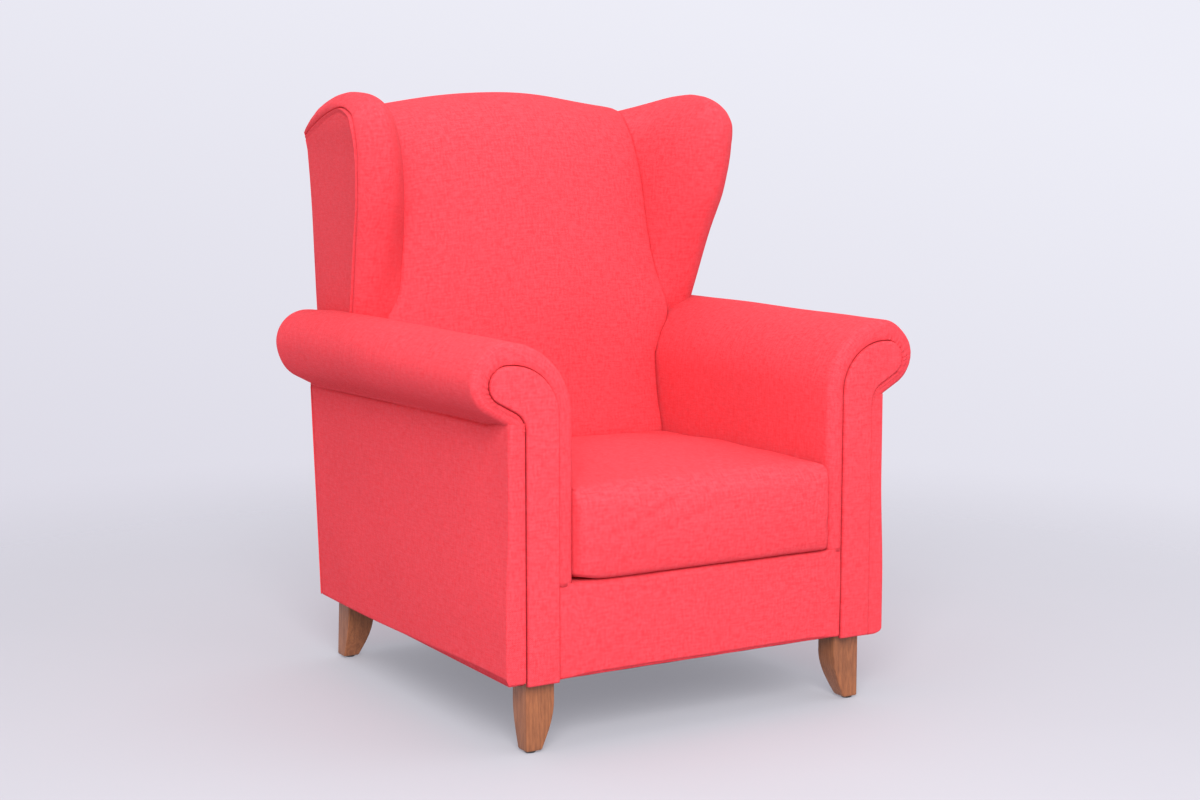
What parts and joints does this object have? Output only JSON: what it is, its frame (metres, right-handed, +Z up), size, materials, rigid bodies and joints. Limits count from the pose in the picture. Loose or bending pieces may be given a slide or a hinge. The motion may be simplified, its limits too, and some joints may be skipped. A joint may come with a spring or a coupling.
{
  "type": "fireside chair",
  "caption": "Fabric wing-back fireside chair with scroll arms, a loose box seat cushion that lifts out and tapered wooden legs.",
  "frame": {"origin": "on the floor under the middle of the chair's bounding box", "axes": "+Z up, the sitter faces -Y, +X is on the right of a person who stands in front and looks at the chair"},
  "size_m": [0.843, 0.835, 1.035],
  "materials": {
    "upholstery_fabric": "plain woven coral-red wool-like cloth with a soft sheen",
    "leg_wood": "mid-brown stain with satin lacquer",
    "frame_timber": "bare planed hardwood",
    "spring_wire": "drawn wire",
    "bolt_steel": "zinc plated",
    "glide_plastic": "dark matte plastic",
    "webbing": "woven elastic webbing",
    "cushion_foam": "open-cell foam",
    "zip_tape": "coil zip on woven tape",
    "dust_cloth": "black non-woven cloth"
  },
  "bodies": {
    "chair": {"leg_front_right": "leg_wood", "leg_front_left": "leg_wood", "leg_rear_right": "leg_wood", "leg_rear_left": "leg_wood", "glide_front_right": "glide_plastic", "glide_front_left": "glide_plastic", "glide_rear_right": "glide_plastic", "glide_rear_left": "glide_plastic", "leg_bolt_front_right": "bolt_steel", "leg_bolt_front_left": "bolt_steel", "leg_bolt_rear_right": "bolt_steel", "leg_bolt_rear_left": "bolt_steel", "corner_block_front_right": "frame_timber", "corner_block_front_left": "frame_timber", "corner_block_rear_right": "frame_timber", "corner_block_rear_left": "frame_timber", "side_seat_rail_right": "frame_timber", "side_seat_rail_left": "frame_timber", "back_post_right": "frame_timber", "back_post_left": "frame_timber", "arm_stump_right": "frame_timber", "arm_stump_left": "frame_timber", "arm_rail_right": "frame_timber", "arm_rail_left": "frame_timber", "wing_board_right": "frame_timber", "wing_board_left": "frame_timber", "arm_cover_right": "upholstery_fabric", "arm_cover_left": "upholstery_fabric", "arm_facing_right": "upholstery_fabric", "arm_facing_left": "upholstery_fabric", "outside_arm_right": "upholstery_fabric", "outside_arm_left": "upholstery_fabric", "wing_pad_right": "upholstery_fabric", "wing_pad_left": "upholstery_fabric", "outside_wing_right": "upholstery_fabric", "outside_wing_left": "upholstery_fabric", "front_seat_rail": "frame_timber", "rear_seat_rail": "frame_timber", "back_tacking_rail": "frame_timber", "crest_rail": "frame_timber", "seat_spring_1": "spring_wire", "seat_spring_2": "spring_wire", "seat_spring_3": "spring_wire", "seat_spring_4": "spring_wire", "seat_spring_5": "spring_wire", "back_webbing_1": "webbing", "back_webbing_2": "webbing", "back_webbing_3": "webbing", "back_webbing_4": "webbing", "seat_platform": "upholstery_fabric", "front_border": "upholstery_fabric", "inside_back": "upholstery_fabric", "outside_back": "upholstery_fabric", "dust_cover": "dust_cloth"},
    "seat_cushion": {"cushion_cover": "upholstery_fabric", "cushion_core": "cushion_foam", "cushion_zip": "zip_tape"}
  },
  "joints": [
    {"name": "cushion_lift", "type": "slide", "parent": "chair", "child": "seat_cushion", "axis": [0, 0, 1], "range_m": [0, 0.4]}
  ]
}
